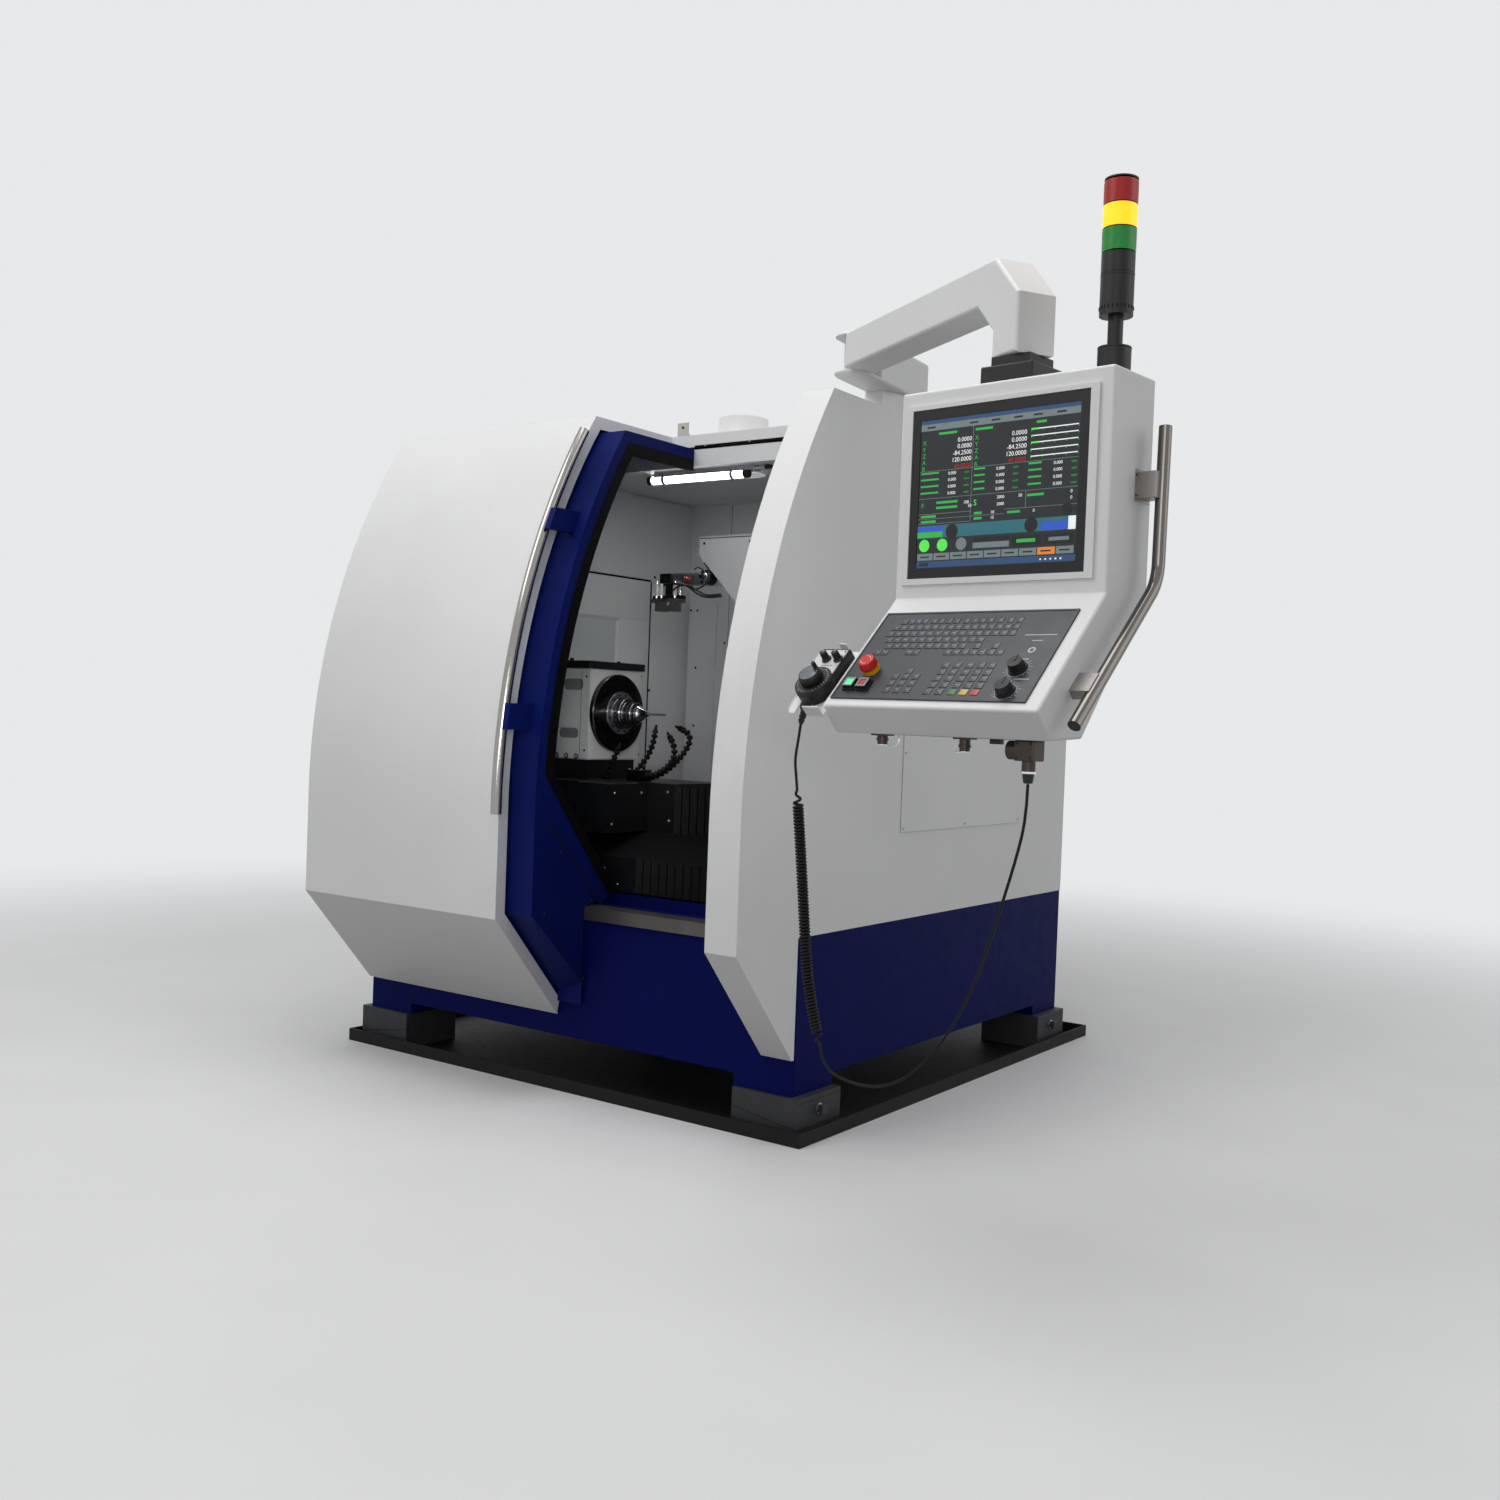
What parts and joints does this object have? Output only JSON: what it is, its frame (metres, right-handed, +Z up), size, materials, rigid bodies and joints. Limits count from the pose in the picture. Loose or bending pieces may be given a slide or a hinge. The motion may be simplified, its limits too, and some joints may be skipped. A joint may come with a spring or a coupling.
{
  "type": "cnc grinding machine",
  "caption": "Enclosed CNC tool grinding machine with a curved sliding door, swing-arm operator panel, corded hand pendant and signal tower.",
  "frame": {"origin": "on the floor under the middle of the base", "axes": "+X to the right along the front, +Y into the machine from the operator's side, +Z up"},
  "size_m": [2.5892, 2.292, 2.134],
  "materials": {
    "white_paint": "satin powder coat",
    "blue_paint": "satin powder coat",
    "liner_paint": "satin powder coat",
    "grey_paint": "worn grey paint",
    "black_paint": "satin black",
    "steel": "brushed",
    "polished_steel": "polished",
    "aluminium": "machined",
    "cast_iron": "machined and painted",
    "black_rubber": "matt",
    "bellows_cloth": "matt coated cloth",
    "black_plastic": "fine texture",
    "dark_key_plastic": "matt membrane",
    "lamp_plastic": "lit diffuser",
    "window_glass": "clear",
    "screen_glass": "lit display",
    "red_plastic": "gloss",
    "yellow_plastic": "gloss",
    "amber_plastic": "lit lens",
    "green_plastic": "gloss",
    "abrasive": "rough bonded grain"
  },
  "bodies": {
    "machine": {"drip_tray": "black_paint", "wedge_mounts": "grey_paint", "base_frame": "blue_paint", "sill_strip": "steel", "left_cover": "white_paint", "right_cover": "white_paint", "side_access_cover": "white_paint", "rear_panel": "white_paint", "roof_panel": "white_paint", "hose_spigot": "white_paint", "interlock_bracket": "steel", "liner_left": "liner_paint", "liner_rear": "liner_paint", "liner_ceiling": "liner_paint", "lamp_body": "aluminium", "lamp_tube": "lamp_plastic", "door_rails": "steel", "way_bellows": "bellows_cloth", "wheel_column": "cast_iron", "loader_housing": "white_paint", "arm_mount": "white_paint"},
    "door": {"door_shell": "blue_paint", "door_window": "window_glass", "door_seal": "black_rubber", "door_handle": "polished_steel"},
    "carriage": {"carriage_cover": "black_paint", "headstock_housing": "white_paint", "headstock_top_plate": "black_paint", "coolant_hoses": "black_plastic"},
    "work_spindle": {"spindle_flange": "black_paint", "spindle_nose": "polished_steel", "tool_blank": "steel"},
    "wheel_head_slide_body": {"wheel_head": "cast_iron"},
    "wheel_spindle_body": {"grinding_wheels": "abrasive"},
    "loader_arm_body": {"loader_arm": "aluminium"},
    "jaw_left": {"gripper_jaw_left": "steel"},
    "jaw_right": {"gripper_jaw_right": "steel"},
    "arm_base": {"lower_arm": "white_paint"},
    "arm_front": {"upper_arm": "white_paint"},
    "panel": {"swivel_coupling": "black_plastic", "control_box": "white_paint", "monitor_bezel": "black_plastic", "screen": "screen_glass", "keyboard_plate": "dark_key_plastic", "e_stop_collar": "yellow_plastic", "panel_handle": "polished_steel", "panel_connector": "steel", "pendant_body": "black_plastic", "coil_cord": "black_rubber", "pendant_cord": "black_rubber", "tower_body": "black_plastic", "tower_lens_red": "red_plastic", "tower_lens_amber": "amber_plastic", "tower_lens_green": "green_plastic"},
    "emergency_stop_head": {"emergency_stop": "red_plastic"},
    "start_key": {"start_button": "green_plastic"},
    "stop_key": {"stop_button": "red_plastic"},
    "feed_dial": {"feed_knob": "black_plastic"},
    "speed_dial": {"speed_knob": "black_plastic"},
    "pendant_dial": {"pendant_wheel": "black_plastic"}
  },
  "joints": [
    {"name": "door_slide", "type": "slide", "parent": "machine", "child": "door", "axis": [1, 0, 0], "range_m": [0, 0.6]},
    {"name": "carriage_slide", "type": "slide", "parent": "machine", "child": "carriage", "axis": [1, 0, 0], "range_m": [-0.05, 0.15], "deforming": ["way_bellows"]},
    {"name": "work_spindle_turn", "type": "hinge", "parent": "carriage", "child": "work_spindle", "pos_m": [-0.009, -0.434, 1.044], "axis": [1, 0, 0], "continuous": true},
    {"name": "wheel_head_slide", "type": "slide", "parent": "machine", "child": "wheel_head_slide_body", "axis": [0, 0, 1], "range_m": [-0.04, 0.12]},
    {"name": "wheel_spindle_turn", "type": "hinge", "parent": "wheel_head_slide_body", "child": "wheel_spindle_body", "pos_m": [0.52, -0.434, 1.044], "axis": [0, -1, 0], "continuous": true},
    {"name": "loader_swing", "type": "hinge", "parent": "machine", "child": "loader_arm_body", "pos_m": [0.181, -0.434, 1.448], "axis": [0, -1, 0], "range_deg": [0, 70]},
    {"name": "jaw_left_slide", "type": "slide", "parent": "loader_arm_body", "child": "jaw_left", "axis": [-1, 0, 0], "range_m": [-0.008, 0.008]},
    {"name": "jaw_right_slide", "type": "slide", "parent": "loader_arm_body", "child": "jaw_right", "axis": [1, 0, 0], "range_m": [-0.008, 0.008]},
    {"name": "arm_base_swivel", "type": "hinge", "parent": "machine", "child": "arm_base", "pos_m": [0.742, -0.268, 1.926], "axis": [0, 0, 1], "range_deg": [-5, 45]},
    {"name": "arm_elbow", "type": "hinge", "parent": "arm_base", "child": "arm_front", "pos_m": [0.768, -0.606, 1.98], "axis": [0, 0, 1], "range_deg": [-10, 50]},
    {"name": "panel_swivel", "type": "hinge", "parent": "arm_front", "child": "panel", "pos_m": [1.429, -1.004, 1.812], "axis": [0, 0, 1], "range_deg": [-40, 40]},
    {"name": "emergency_stop_press", "type": "slide", "parent": "panel", "child": "emergency_stop_head", "axis": [0.0799, 0.7011, -0.7086], "range_m": [0, 0.005], "stiffness_N_per_m": 600, "springref_m": -0.002},
    {"name": "start_press", "type": "slide", "parent": "panel", "child": "start_key", "axis": [0.0799, 0.7011, -0.7086], "range_m": [0, 0.003], "stiffness_N_per_m": 600, "springref_m": -0.002},
    {"name": "stop_press", "type": "slide", "parent": "panel", "child": "stop_key", "axis": [0.0799, 0.7011, -0.7086], "range_m": [0, 0.003], "stiffness_N_per_m": 600, "springref_m": -0.002},
    {"name": "feed_dial_turn", "type": "hinge", "parent": "panel", "child": "feed_dial", "pos_m": [1.57316, -1.26753, 1.15536], "axis": [-0.0799, -0.7011, 0.7086], "range_deg": [-135, 135]},
    {"name": "speed_dial_turn", "type": "hinge", "parent": "panel", "child": "speed_dial", "pos_m": [1.57017, -1.3114, 1.11161], "axis": [-0.0799, -0.7011, 0.7086], "range_deg": [-135, 135]},
    {"name": "pendant_dial_turn", "type": "hinge", "parent": "panel", "child": "pendant_dial", "pos_m": [1.1136, -1.27286, 1.13214], "axis": [-0.0799, -0.7011, 0.7086], "continuous": true}
  ],
  "couplings": [
    {"joint": "jaw_right_slide", "follows": "jaw_left_slide", "ratio": 1}
  ]
}
